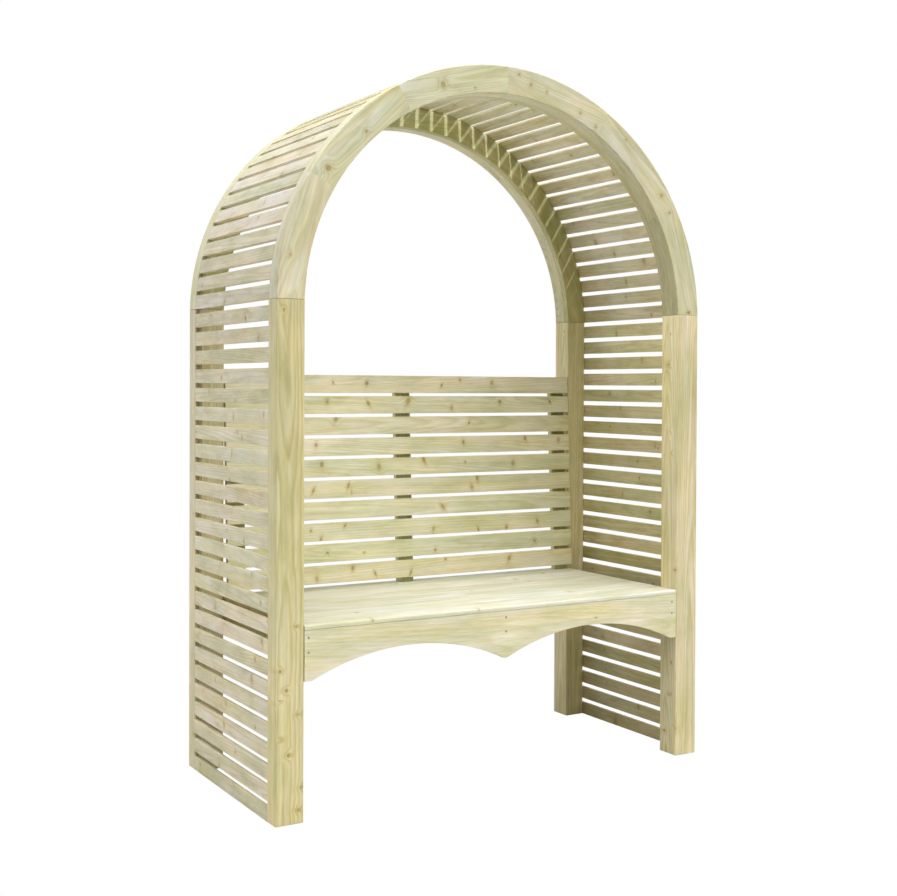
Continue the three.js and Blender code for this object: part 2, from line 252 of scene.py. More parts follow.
class Log:
    """Where a board was cut from a trunk: gives each point its place along and across the grain."""

    def __init__(self, rng, centre, along, face, knots=(), spacing=KNOT_SPACING, pith=PITH, swing=SWING,
                 tone=0.0, hue=0.0, gold=0.0, tail=TAIL_STRENGTH):
        self.along = along.normalized()
        out = (face - face.dot(self.along) * self.along).normalized()
        self.out = Matrix.Rotation(rng.uniform(-swing, swing), 3, self.along) @ out
        self.side = self.along.cross(self.out)
        self.centre = centre
        self.pith = pith * rng.uniform(*PITH_SHARES)
        self.runout = rng.uniform(-LARGEST_RUNOUT, LARGEST_RUNOUT)
        self.shift = rng.uniform(0, LONGEST_SHIFT)
        self.tone = rng.uniform(-1, 1) + tone
        self.hue = rng.uniform(-1, 1) + hue
        self.gold = gold
        self.knots = [self.through(Vector(point), size) for point, size in knots]
        if not self.knots:
            self.scatter(rng, spacing)
        self.marks = [Vector((rng.uniform(*KNOT_STRENGTHS), rng.uniform(-tail, tail), 0))
                      for _ in self.knots]

    def local(self, point):
        away = point - self.centre
        along = away.dot(self.along)
        return Vector((along, self.pith + away.dot(self.out) + along * self.runout, away.dot(self.side)))

    def through(self, point, size):
        """A knot whose branch leaves the pith and comes out at a point."""
        spot = self.local(point)
        return spot.x, math.atan2(spot.z, spot.y), size

    def scatter(self, rng, spacing):
        """Seeded knots all along the trunk."""
        place = -LOG_REACH + rng.uniform(0, spacing)
        while place < LOG_REACH:
            angle = rng.gauss(0, KNOT_ANGLE_SPREAD)
            self.knots.append((place, angle, KNOT_SIZE * rng.uniform(*SIZE_SHARES)))
            place += spacing * rng.uniform(*SPACING_SHARES)

    def from_branch(self, spot, index):
        """How far a spot is from a branch, along and across the grain."""
        place, angle, _ = self.knots[index]
        cos, sin = math.cos(angle), math.sin(angle)
        behind = min(0, spot.y * cos + spot.z * sin)
        return spot.x - place, math.copysign(math.hypot(spot.z * cos - spot.y * sin, behind), spot.z)

    def nearest(self, spot):
        """The number of the knot nearest to a spot."""
        return min(range(len(self.knots)), key=lambda index: math.hypot(*self.from_branch(spot, index)))

    def to_knot(self, spot, index):
        """The distance from a knot's branch in knot radii, and its radius."""
        along, across = self.from_branch(spot, index)
        radius = self.knots[index][2]
        return Vector((along / radius, across / radius, radius))


class Piece:
    """One piece of the arbour, made of one or more boards, in the place of the node it is named after."""

    def __init__(self, name, slot):
        self.name, self.slot = name, slot
        self.points, self.faces = [], []
        self.grain, self.along, self.knot, self.mark, self.tone = [], [], [], [], []

    def add(self, bm, log):
        """Takes in one board, with each corner's place in its log."""
        bm.verts.index_update()
        first = len(self.points)
        self.points += [vert.co.copy() for vert in bm.verts]
        offset = Vector((log.shift, 0, 0))
        for face in bm.faces:
            self.faces.append([first + vert.index for vert in face.verts])
            knot = log.nearest(log.local(face.calc_center_median()))
            for vert in face.verts:
                spot = log.local(vert.co)
                self.grain.append(spot + offset)
                self.knot.append(log.to_knot(spot, knot))
                self.along.append(log.along)
                self.mark.append(log.marks[knot])
                self.tone.append(Vector((log.tone, log.hue, log.gold)))
        bm.free()

    def build(self):
        name = f"{self.name}_wood"
        mesh = bpy.data.meshes.new(name)
        mesh.from_pydata(self.points, [], self.faces)
        for channel in ("grain", "along", "knot", "mark", "tone"):
            layer = mesh.attributes.new(channel, "FLOAT_VECTOR", "CORNER")
            layer.data.foreach_set("vector", [value for item in getattr(self, channel) for value in item])
        mesh.shade_smooth()
        mesh.set_sharp_from_angle(angle=SHARP_ANGLE)
        mesh.materials.append(material_for(self.slot))
        piece = bpy.data.objects.new(name, mesh)
        bpy.context.scene.collection.objects.link(piece)
        smooth = piece.modifiers.new("even_shading", "WEIGHTED_NORMAL")
        smooth.keep_sharp = True
        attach(piece, "root")
        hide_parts(self.name)


def rounded(corners, steps=ARRIS_STEPS):
    """The outline through [x, y, radius] corners."""
    points = []
    for index, (x, y, radius) in enumerate(corners):
        corner = Vector((x, y))
        if radius == 0:
            points.append(corner)
            continue
        before = Vector(corners[index - 1][:2]) - corner
        after = Vector(corners[(index + 1) % len(corners)][:2]) - corner
        back, onward = before.normalized() * radius, after.normalized() * radius
        middle = corner + back + onward
        for step in range(steps + 1):
            turn = math.pi / 2 * step / steps
            points.append(middle - onward * math.cos(turn) - back * math.sin(turn))
    return points


def rectangle(low, high, arrises):
    """Corners of a rectangle, anticlockwise from its low corner, with their radii."""
    return [(low[0], low[1], arrises[0]), (high[0], low[1], arrises[1]),
            (high[0], high[1], arrises[2]), (low[0], high[1], arrises[3])]


def loft(loops, *end_arrises):
    """A closed solid through loops of points, with the rims of its ends eased by one size or by two."""
    bm = bmesh.new()
    rows = [[bm.verts.new(point) for point in loop] for loop in loops]
    count = len(loops[0])
    for near, far in zip(rows, rows[1:]):
        for index in range(count):
            beside = (index + 1) % count
            bm.faces.new((near[index], near[beside], far[beside], far[index]))
    caps = [bm.faces.new(list(reversed(rows[0]))), bm.faces.new(rows[-1])]
    bmesh.ops.recalc_face_normals(bm, faces=bm.faces)
    for cap, size in zip(caps, end_arrises * 2):
        if size > 0:
            bmesh.ops.bevel(bm, geom=cap.edges[:], offset=size, offset_type="OFFSET",
                            segments=END_ARRIS_STEPS, profile=0.5, affect="EDGES", clamp_overlap=True)
    return bm


def stations(low, high, step):
    """Even places from low to high, no further apart than a step."""
    count = max(2, math.ceil((high - low) / step))
    return [low + (high - low) * index / count for index in range(count + 1)]


def board(rng, centre, along, face, length, width, thickness, arris, warp=0.0):
    """A board with its own slight bow and crook, its face looking along one direction."""
    across = along.cross(face)
    points = rounded(rectangle((-width / 2, -thickness / 2), (width / 2, thickness / 2), [arris] * 4))
    bow, crook = rng.uniform(-warp, warp), rng.uniform(-warp, warp)
    loops = []
    for place in stations(-length / 2, length / 2, BOARD_STEP):
        bend = 1 - (2 * place / length) ** 2
        middle = centre + along * place + face * bow * bend + across * crook * bend
        loops.append([middle + across * point.x + face * point.y for point in points])
    return loft(loops, arris)


def simple_board(piece, rng, low, high, along, face, arris, **wood):
    """A straight board that fills a box."""
    centre, size = (low + high) / 2, high - low
    across = along.cross(face)
    length, width, thickness = (abs(size.dot(axis)) for axis in (along, across, face))
    piece.add(board(rng, centre, along, face, length, width, thickness, arris),
              Log(rng, centre, along, face, **wood))


# How much lighter (tone), pinker (hue) or more golden (gold) boards are than their seeds make them,
# and how strong the tails of their knots may be (tail). Several of these are painted light and shade, as
# noted at each
# On the back left post the lower gold and hue make it bluer: painted cool light from the left
POST_LOOKS = {"post_front_left": {"gold": 1}, "post_front_right": {"gold": -1.6},
              "post_back_left": {"hue": -1.2, "gold": -3.5}, "post_back_right": {"hue": -1, "gold": -0.5}}
# Inner plies of the ribs made darker, the back ones much darker: painted shade in the corners under the roof
INNER_RIB_PAINTED_SHADE = {"front": -2, "back": -13}
# Tones of the rib faces' segments, counted from the right: painted light and shade, lighter where more light
# falls on a segment
FACE_PAINTED_LIGHT = {"front": (-1, 3.5, 2, 5, 3, 7), "back": (0, 0, 0, 3, 0, 0)}
LEFT_WALL_LOOK = {"tone": 0.2, "tail": 1.2}
# The right wall's slats made darker: painted shade inside the arbour. Those below the seat are darker still,
# painted shade under the seat, and pinker
RIGHT_WALL_PAINTED_SHADE = {"tone": -1.3}
LOW_RIGHT_WALL_SHADE_AND_HUE = {"tone": -2, "hue": 1.5}
# The roof's left slats made lighter and bluer: painted cool light from the left
LEFT_ROOF_PAINTED_LIGHT = {"tone": 0.5, "gold": -1.2}
# The fixing strips made darker: painted shade in the rebates behind the slats' ends
STRIP_PAINTED_SHADE = {"tone": -2.5}
BOARD_LOOKS = {"back_slat_7": {"tone": 1.6}, "seat_board_5": {"tone": 2.5}}

# The roof's groups of slats, counted from 0, that take the left roof's painted cool light
LEFT_ROOF_GROUPS = (6, 7)


def make_posts():
    inner, outer = OPENING_HALF, HALF_WIDTH
    front, back = -HALF_DEPTH, -HALF_DEPTH + POST_WIDTH
    shoulder = -HALF_DEPTH + FACE_LAYER
    corners = [
        (inner, front, POST_ARRIS), (outer, front, POST_ARRIS), (outer, shoulder, 0),
        (REBATE_RADIUS, shoulder, 0), (REBATE_RADIUS, back, 0), (inner, back, POST_ARRIS)]
    points = rounded(corners, POST_ARRIS_STEPS)
    for name, side, end in (("post_front_left", -1, 1), ("post_front_right", 1, 1),
                            ("post_back_left", -1, -1), ("post_back_right", 1, -1)):
        rng = random.Random(name)
        piece = Piece(name, "post_timber")
        loops = [[Vector((side * point.x, end * point.y, height)) for point in points]
                 for height in stations(0, POST_HEIGHT, BOARD_STEP)]
        middle = Vector((side * (inner + outer) / 2, end * (front + back) / 2, POST_HEIGHT / 2))
        inward = Vector((-side, -end, 0))
        log = Log(rng, middle, Z, inward, KNOTS.get(name, ()), pith=POST_PITH, **POST_LOOKS[name])
        piece.add(loft(loops, FOOT_ARRIS), log)
        piece.build()


def arch_loops(points, low_angle, high_angle, span, step):
    """Loops of a section swept round the arch. An end given as None stands level on the posts."""
    count = math.ceil(math.radians(span) / math.radians(step))
    loops = []
    for index in range(count + 1):
        loop = []
        for point in points:
            seat = math.asin((ARCH_CENTRE_DEPTH + JOINT_GAP) / point.x)
            low = seat if low_angle is None else low_angle
            high = math.pi - seat if high_angle is None else high_angle
            loop.append(arch_point(point.x, point.y, low + (high - low) * index / count))
        loops.append(loop)
    return loops


def rib_segment(piece, rng, section, low_angle, high_angle, end, knots=(), tone=0.0):
    """One segment of a rib layer, its grain straight along the chord."""
    points = rounded(section)
    half_gap = SEGMENT_GAP / 2 / HALF_WIDTH
    low = None if low_angle is None else math.radians(low_angle) + half_gap
    high = None if high_angle is None else math.radians(high_angle) - half_gap
    span = (high_angle or 180) - (low_angle or 0)
    loops = arch_loops(points, low, high, span, RIB_STEP)
    turn = Matrix.Rotation(0 if end > 0 else math.pi, 3, "Z")
    loops = [[turn @ point for point in loop] for loop in loops]
    middle_angle = math.radians(((high_angle or 180) + (low_angle or 0)) / 2)
    middle = turn @ arch_point((INNER_RADIUS + HALF_WIDTH) / 2, section[0][1], middle_angle)
    chord = turn @ Vector((-math.sin(middle_angle), 0, math.cos(middle_angle)))
    ends = [SHOULDER_ARRIS if angle is None else JOINT_ARRIS for angle in (low_angle, high_angle)]
    # The tone given to a segment is painted light and shade on the rib
    piece.add(loft(loops, *ends), Log(rng, middle, chord, turn @ -Y, knots, tone=tone))


def make_ribs():
    front = -HALF_DEPTH
    plies = [
        rectangle((INNER_RADIUS, front), (HALF_WIDTH, front + PLY),
                  [RIB_ARRIS, RIB_ARRIS, GLUED_ARRIS, GLUED_ARRIS]),
        rectangle((INNER_RADIUS, front + PLY), (HALF_WIDTH, front + FACE_LAYER), [GLUED_ARRIS] * 4)]
    inner = rectangle((INNER_RADIUS, front + FACE_LAYER), (REBATE_RADIUS, front + POST_WIDTH),
                      [GLUED_ARRIS, GLUED_ARRIS, GLUED_ARRIS, RIB_ARRIS])
    for label, end in (("front", 1), ("back", -1)):
        limits = [None, *FACE_JOINTS, None]
        for index, (low, high) in enumerate(zip(limits, limits[1:])):
            name = f"{label}_rib_face_{index + 1}"
            piece = Piece(name, "rib_timber")
            rng = random.Random(name)
            for section, knots in zip(plies, (KNOTS.get(name, ()), ())):
                rib_segment(piece, rng, section, low, high, end, knots, FACE_PAINTED_LIGHT[label][index])
            piece.build()
        limits = [None, *INNER_JOINTS, None]
        for index, (low, high) in enumerate(zip(limits, limits[1:])):
            name = f"{label}_rib_inner_{index + 1}"
            piece = Piece(name, "rib_timber")
            rib_segment(piece, random.Random(name), inner, low, high, end, tone=INNER_RIB_PAINTED_SHADE[label])
            piece.build()


def slat_knots(marks, centre, up, skin):
    """Knots of one slat from their places along it and above its middle line."""
    surface = centre + skin * SLAT_THICKNESS / 2
    return [(surface + Y * along * MM + up * above * MM, radius * MM) for along, above, radius in marks]


def make_side_slats():
    for name, side in (("side_slats_left", -1), ("side_slats_right", 1)):
        piece = Piece(name, "slat_timber")
        rng = random.Random(name)
        face = X * side
        for index in range(SIDE_SLATS):
            height = index * SIDE_PITCH + SLAT_WIDTH / 2
            centre = Vector((side * (HALF_WIDTH - SLAT_THICKNESS / 2), 0, height))
            slat = board(rng, centre, Y, face, SLAT_LENGTH, SLAT_WIDTH, SLAT_THICKNESS, SLAT_ARRIS,
                         SLAT_WARP)
            seen = OUTER_KNOTS if side < 0 else INNER_KNOTS
            skin = face if side < 0 else -face
            knots = slat_knots(seen.get(index, ()), centre, Z, skin)
            # The right wall's slats take painted shade, deeper below the seat
            right_wall_shade = LOW_RIGHT_WALL_SHADE_AND_HUE if index < SLATS_BELOW_SEAT else RIGHT_WALL_PAINTED_SHADE
            look = LEFT_WALL_LOOK if side < 0 else right_wall_shade
            piece.add(slat, Log(rng, centre, Y, skin, knots, swing=SLAT_SWING, **look))
        for end in (-1, 1):
            middle = end * (SLAT_LENGTH - SLAT_BEARING) / 2
            low = Vector((REBATE_RADIUS, middle - STRIP_WIDTH / 2, 0))
            high = Vector((REBATE_RADIUS + STRIP_THICKNESS, middle + STRIP_WIDTH / 2, SLATS_HIGH.z))
            low.x, high.x = low.x * side, high.x * side
            simple_board(piece, rng, low, high, Z, face, STRIP_ARRIS, **STRIP_PAINTED_SHADE)
        piece.build()


def make_roof():
    radius = HALF_WIDTH - SLAT_THICKNESS / 2
    for group in range(ROOF_GROUPS):
        name = f"arch_slats_{group + 1}"
        piece = Piece(name, "slat_timber")
        rng = random.Random(name)
        start = group * ROOF_SLATS // ROOF_GROUPS
        count = (group + 1) * ROOF_SLATS // ROOF_GROUPS - start
        first = JOINT_ANGLE + SLAT_ANGLE / 2 + start * ROOF_PITCH
        # The left groups take painted cool light
        look = LEFT_ROOF_PAINTED_LIGHT if group in LEFT_ROOF_GROUPS else {}
        for index in range(count):
            angle = first + index * ROOF_PITCH
            face = Vector((math.cos(angle), 0, math.sin(angle)))
            centre = arch_point(radius, 0, angle)
            slat = board(rng, centre, Y, face, SLAT_LENGTH, SLAT_WIDTH, SLAT_THICKNESS, SLAT_ARRIS,
                         SLAT_WARP)
            up = Vector((-math.sin(angle), 0, math.cos(angle)))
            knots = slat_knots(INNER_KNOTS.get(SIDE_SLATS + start + index, ()), centre, up, -face)
            piece.add(slat, Log(rng, centre, Y, -face, knots, swing=SLAT_SWING, **look))
        reach = SLAT_ANGLE / 2
        last = first + (count - 1) * ROOF_PITCH
        for end in (-1, 1):
            middle = end * (SLAT_LENGTH - SLAT_BEARING) / 2
            section = rectangle((REBATE_RADIUS, middle - STRIP_WIDTH / 2),
                                (REBATE_RADIUS + STRIP_THICKNESS, middle + STRIP_WIDTH / 2), [0] * 4)
            span = math.degrees(last - first)
            loops = arch_loops(rounded(section), first - reach, last + reach, span, STRIP_STEP)
            chord = Vector((-math.sin(first), 0, math.cos(first)))
            piece.add(loft(loops, 0), Log(rng, loops[0][0], chord, Y, **STRIP_PAINTED_SHADE))
        piece.build()


# Directions up the leaning back rest and out of its face
BACK_UP = Vector((0, math.sin(BACK_LEAN), math.cos(BACK_LEAN)))
BACK_FACE = Vector((0, -math.cos(BACK_LEAN), math.sin(BACK_LEAN)))


def make_back_slats():
    for index in range(BACK_SLATS):
        name = f"back_slat_{index + 1}"
        piece = Piece(name, "panel_timber")
        rng = random.Random(name)
        low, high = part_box(name)
        centre = (low + high) / 2
        slat = board(rng, centre, X, BACK_FACE, high.x - low.x, BACK_SLAT_HEIGHT, BACK_SLAT_THICKNESS,
                     BACK_ARRIS, SLAT_WARP)
        skin = centre + BACK_FACE * BACK_SLAT_THICKNESS / 2
        knots = [(skin + X * x * MM + BACK_UP * above * MM, radius * MM)
                 for x, above, radius in PANEL_KNOTS[index]]
        log = Log(rng, centre, X, BACK_FACE, knots, tail=PANEL_TAIL_STRENGTH, **BOARD_LOOKS.get(name, {}))
        piece.add(slat, log)
        piece.build()


def make_battens():
    """Battens that lean with the back rest and are cut level where they stand on the seat."""
    for side in ("left", "centre", "right"):
        name = f"back_batten_{side}"
        piece = Piece(name, "frame_timber")
        rng = random.Random(name)
        low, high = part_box(name)
        middle = (low.x + high.x) / 2
        half = (high.x - low.x) / 2
        points = rounded(rectangle((-half, 0), (half, BATTEN_THICKNESS), [HIDDEN_ARRIS] * 4))
        foot_front = Vector((middle, low.y, low.z))
        top = (high.z - low.z) / math.cos(BACK_LEAN)
        loops = []
        for height in stations(0, 1, BATTEN_STEP_SHARE):
            loop = []
            for point in points:
                level = point.y * math.tan(BACK_LEAN)
                reach = level + (top - level) * height
                loop.append(foot_front + X * point.x - BACK_FACE * point.y + BACK_UP * reach)
            loops.append(loop)
        piece.add(loft(loops, HIDDEN_ARRIS), Log(rng, (low + high) / 2, BACK_UP, BACK_FACE))
        piece.build()


def make_seat():
    for index in range(SEAT_BOARDS):
        name = f"seat_board_{index + 1}"
        low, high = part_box(name)
        piece = Piece(name, "seat_timber")
        rng = random.Random(name)
        front = SEAT_FRONT_ARRIS if index == 0 else BOARD_ARRIS
        points = rounded(rectangle((low.y, low.z), (high.y, high.z),
                                   [SEAT_LOWER_ARRIS, CONTACT_ARRIS, BOARD_ARRIS, front]))
        loops = [[Vector((x, point.x, point.y)) for point in points]
                 for x in stations(low.x, high.x, SEAT_STEP)]
        log = Log(rng, (low + high) / 2, X, Z, KNOTS.get(name, ()), pith=SEAT_PITH,
                  **BOARD_LOOKS.get(name, {}))
        piece.add(loft(loops, BOARD_ARRIS), log)
        piece.build()


def apron_bottom(x):
    """Height of the apron's lower edge: two shallow arcs that meet in a point."""
    end = APRON_HIGH.x - APRON_END_FLAT
    cusp = APRON_CUSP_FLAT / 2
    half_chord = (end - cusp) / 2
    radius = (half_chord ** 2 + APRON_ARC_HEIGHT ** 2) / (2 * APRON_ARC_HEIGHT)
    away = min(abs(abs(x) - (end + cusp) / 2), half_chord)
    return APRON_LOW.z + APRON_ARC_HEIGHT - radius + math.sqrt(radius ** 2 - away ** 2)


def make_apron():
    piece = Piece("seat_apron", "apron_timber")
    rng = random.Random("apron")
    end, flat, cusp = APRON_HIGH.x, APRON_HIGH.x - APRON_END_FLAT, APRON_CUSP_FLAT / 2
    right = [0, *stations(cusp, flat, SEAT_STEP), end]
    places = [-x for x in reversed(right)] + right[1:]
    loops = []
    for x in places:
        top = APRON_HIGH.z - APRON_TOP_GAP
        points = rounded(rectangle((APRON_LOW.y, apron_bottom(x)), (APRON_HIGH.y, top),
                                   [APRON_ARRIS, APRON_ARRIS, CONTACT_ARRIS, SEAT_LOWER_ARRIS]))
        loops.append([Vector((x, point.x, point.y)) for point in points])
    log = Log(rng, (APRON_LOW + APRON_HIGH) / 2, X, -Y, pith=APRON_PITH, swing=APRON_SWING,
              spacing=APRON_KNOT_SPACING)
    piece.add(loft(loops, BOARD_ARRIS), log)
    piece.build()


def make_screws():
    """Countersunk screw heads in the apron, a hair proud of its face."""
    bm = bmesh.new()
    turn = Matrix.Rotation(math.pi / 2, 4, "X")
    for x, height in APRON_SCREWS:
        place = Matrix.Translation((x * MM, APRON_LOW.y + SCREW_DEPTH / 2 - SCREW_PROUD, height * MM))
        bmesh.ops.create_cone(bm, cap_ends=True, segments=SCREW_SIDES, radius1=SCREW_RADIUS,
                              radius2=SCREW_RADIUS, depth=SCREW_DEPTH, matrix=place @ turn)
    mesh = bpy.data.meshes.new("apron_screws")
    bm.to_mesh(mesh)
    bm.free()
    steel = Nodes("screw_steel")
    steel.shader.inputs["Base Color"].default_value = SCREW_STEEL
    steel.shader.inputs["Metallic"].default_value = SCREW_METALLIC
    steel.shader.inputs["Roughness"].default_value = SCREW_ROUGHNESS
    mesh.materials.append(steel.material)
    screws = bpy.data.objects.new("apron_screws", mesh)
    bpy.context.scene.collection.objects.link(screws)
    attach(screws, "root")


def make_seat_frame():
    for name, along, face in (("side_bearer_left", Y, X), ("side_bearer_right", Y, -X),
                              ("centre_bearer", Y, X), ("rear_rail", X, Y)):
        piece = Piece(name, "frame_timber")
        low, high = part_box(name)
        simple_board(piece, random.Random(name), low, high, along, face, HIDDEN_ARRIS)
        piece.build()


class Nodes:
    """Short calls that add nodes to one material."""

    def __init__(self, name):
        self.material = bpy.data.materials.new(name)
        self.material.use_nodes = True
        self.tree = self.material.node_tree
        self.shader = self.tree.nodes["Principled BSDF"]

    def add(self, kind, values, **settings):
        """A node with its settings, and with values or links on its inputs."""
        node = self.tree.nodes.new(kind)
        for key, value in settings.items():
            setattr(node, key, value)
        for key, value in values.items():
            if isinstance(value, bpy.types.NodeSocket):
                self.tree.links.new(value, node.inputs[key])
            else:
                node.inputs[key].default_value = value
        return node

    def math(self, operation, *values, clamp=False):
        node = self.add("ShaderNodeMath", dict(enumerate(values)), operation=operation, use_clamp=clamp)
        return node.outputs[0]

    def chain(self, operation, values, clamp):
        """An operation on values from left to right, its end result kept from 0 to 1 if clamped."""
        result = values[0]
        for value in values[1:-1]:
            result = self.math(operation, result, value)
        return self.math(operation, result, values[-1], clamp=clamp)

    def total(self, *values, clamp=False):
        return self.chain("ADD", values, clamp)

    def product(self, *values, clamp=False):
        return self.chain("MULTIPLY", values, clamp)

    def centred(self, noise, strength):
        """A noise about 0 instead of a half, with its strength."""
        return self.product(self.math("SUBTRACT", noise, 0.5), strength)

    def vector(self, operation, *values, output=0):
        return self.add("ShaderNodeVectorMath", dict(enumerate(values)), operation=operation).outputs[output]

    def length(self, first, second):
        return self.math("SQRT", self.total(self.product(first, first), self.product(second, second)))

    def attribute(self, name):
        return self.add("ShaderNodeAttribute", {}, attribute_name=name).outputs["Vector"]

    def split(self, vector):
        return self.add("ShaderNodeSeparateXYZ", {0: vector}).outputs

    def noise(self, vector, name, output="Fac"):
        along, across, detail, rough = NOISES[name]
        place = self.vector("MULTIPLY", vector, (along, across, across))
        values = {"Vector": place, "Scale": 1.0, "Detail": detail, "Roughness": rough}
        return self.add("ShaderNodeTexNoise", values).outputs[output]

    def sway(self, vector, name, reach):
        """How far a noise moves a place across the grain."""
        away = self.vector("SUBTRACT", self.noise(vector, name, "Color"), (0.5, 0.5, 0.5))
        return self.vector("MULTIPLY", away, (0, reach, reach))

    def ramp(self, value, stops):
        """A value turned into a grey level by stops, each a place and its level."""
        node = self.add("ShaderNodeValToRGB", {0: value})
        elements = node.color_ramp.elements
        while len(elements) < len(stops):
            elements.new(0.5)
        for element, (place, level) in zip(elements, stops):
            element.position = place
            element.color = (level, level, level, 1)
        return node.outputs[0]

    def mix(self, share, first, second, blend="MIX"):
        values = {0: share, 6: first, 7: second}
        return self.add("ShaderNodeMix", values, data_type="RGBA", blend_type=blend).outputs[2]

    def tint(self, surface, tint, share=1.0):
        return self.mix(share, surface, tint, "MULTIPLY")

    def between(self, value, low, high):
        """0 below low, 1 above high, smooth between."""
        node = self.add("ShaderNodeMapRange", {0: value, 1: low, 2: high, 3: 0.0, 4: 1.0},
                        interpolation_type="SMOOTHSTEP")
        return node.outputs[0]


def colour(red, green, blue):
    """A colour as a screen shows it, 0 to 255, turned into linear light."""
    def linear(value):
        share = value / 255
        return share / 12.92 if share <= 0.04045 else ((share + 0.055) / 1.055) ** 2.4
    return (linear(red), linear(green), linear(blue), 1)


SCREW_STEEL = colour(178, 166, 126)
SCREW_METALLIC = 0.3
SCREW_ROUGHNESS = 0.5

# For each slot: early wood, late wood, how strongly the rings show, how far boards differ, blotches
TIMBERS = {
    "post_timber": (colour(227, 216, 170), colour(200, 183, 120), 0.9, 0.03, 0.45),
    "rib_timber": (colour(230, 226, 189), colour(205, 195, 142), 0.75, 0.02, 0.6),
    "slat_timber": (colour(224, 217, 184), colour(200, 187, 141), 0.75, 0.09, 0.95),
    "panel_timber": (colour(232, 228, 192), colour(206, 195, 143), 0.62, 0.06, 0.55),
    "seat_timber": (colour(229, 228, 208), colour(211, 206, 172), 0.6, 0.03, 0.15),
    "apron_timber": (colour(240, 232, 197), colour(218, 202, 148), 0.55, 0.0, 0.2),
    "frame_timber": (colour(192, 185, 143), colour(168, 155, 103), 0.7, 0.08, 0.5),
}

# Noises in the wood: cells per metre along the grain and across it, detail, roughness. The one of
# uneven years lies along the rings' radius
NOISES = {
    "wander": (1.4, 9, 1, 0.5), "ripple": (9, 60, 1, 0.5), "uneven_years": (50, 1, 0, 0.5),
    "fibre": (26, 430, 2, 0.6), "streak": (1.8, 75, 2, 0.6), "band": (0.8, 48, 1, 0.5),
    "cloud": (6, 16, 2, 0.5), "blotch": (9, 26, 3, 0.6), "stain": (3.5, 22, 3, 0.6),
}

# How far the grain leaves its straight lines, and how much the rings widen round a knot, in its radii
WANDER_REACH = 22 * MM
RIPPLE_REACH = 2.2 * MM
KNOT_SWELL = 1.3

# Year rings: how many, how uneven, how dark from one year's start to its end, and in pale streaks
RINGS_PER_METRE = 250
UNEVEN_RINGS = 3.0
RING_LEVELS = ((0, 0.0), (0.45, 0.2), (0.82, 1.0), (1.0, 0.05))
PALE_STREAK_SHARE = 0.25

# What turns the wood greenish or pinkish
GREENISH = (0.965, 1.015, 0.97, 1)
PINKISH = (1.03, 0.985, 0.985, 1)
LEAST_HUE = -0.75
BOARD_HUE = 0.3
CLOUD_HUE = 1.3
BAND_HUE = 1.2

# What lightens and darkens it, and how much less blue the darker and the more golden wood is
FIBRE_LEVEL = 0.32
STREAK_LEVEL = 0.46
CLOUD_LEVEL = 0.45
DARK_YELLOWING = 1.9
PLAIN_BLUE = 1.15
BOARD_GOLD = 0.05
BAND_GOLD = 0.3

# Blotches and stains, with the levels of their noise between which they fade in
BLOTCH = (0.80, 0.74, 0.62, 1)
BLOTCH_EDGE = (0.45, 0.8)
YELLOW_STAIN = (1.02, 1.0, 0.93, 1)
BLUE_STAIN = (0.97, 0.985, 1.03, 1)
STAIN_EDGE = (0.35, 0.65)

# Knots: their colours, the warm wood round them and their dark tails across the grain. The falls say
# how fast these fade, and the edges where they start and end, in the knot's radii
KNOT_RIM = colour(122, 99, 56)
KNOT_HEART = colour(166, 136, 84)
KNOT_COVER = 0.85
HEART_EDGE = (0.4, 1.0)
KNOT_EDGE = (0.6, 1.4)
HALO = (0.86, 0.79, 0.60, 1)
HALO_SHARE = 0.75
HALO_FALL = 0.14
TAIL = (0.74, 0.64, 0.42, 1)
TAIL_SHARE = 0.7
TAIL_LEAN = 0.5
TAIL_FALL_ALONG = 0.7
TAIL_FALL_ACROSS = 0.12

# End grain, where a face looks along the grain
END_GRAIN = colour(188, 174, 130)
END_SHARE = 0.6
END_EDGE = (0.5, 0.9)

# The surface's roughness and relief
ROUGHNESS = 0.6
STREAK_ROUGHNESS = 0.18
RING_ROUGHNESS = -0.08
FIBRE_RELIEF = 0.5
RING_RELIEF = 0.35
KNOT_RELIEF = 0.6
RELIEF_STRENGTH = 0.35
RELIEF_DEPTH = 0.6 * MM
SHEEN = 0.3


def year_rings(n, grain, knot, halo):
    """How dark the rings round the pith are at a place. They bend round the knots."""
    sway = n.vector("ADD", n.sway(grain, "wander", WANDER_REACH), n.sway(grain, "ripple", RIPPLE_REACH))
    spot = n.split(n.vector("ADD", grain, sway))
    swell = n.product(halo, n.product(knot[2], KNOT_SWELL))
    radius = n.total(n.length(spot[1], spot[2]), swell)
    uneven = n.noise(n.add("ShaderNodeCombineXYZ", {0: radius}).outputs[0], "uneven_years")
    phase = n.total(n.product(radius, RINGS_PER_METRE), n.product(uneven, UNEVEN_RINGS))
    return n.ramp(n.math("FRACT", phase), RING_LEVELS)


def knot_tails(n, knot, mark):
    """How dark the tails are that run from a knot across the grain, on a slant."""
    lean = n.total(knot[0], n.product(knot[1], n.product(mark[1], TAIL_LEAN)))
    fall = n.total(n.product(lean, lean, -TAIL_FALL_ALONG), n.product(knot[1], knot[1], -TAIL_FALL_ACROSS))
    return n.product(n.math("EXPONENT", fall), n.math("ABSOLUTE", mark[1]))


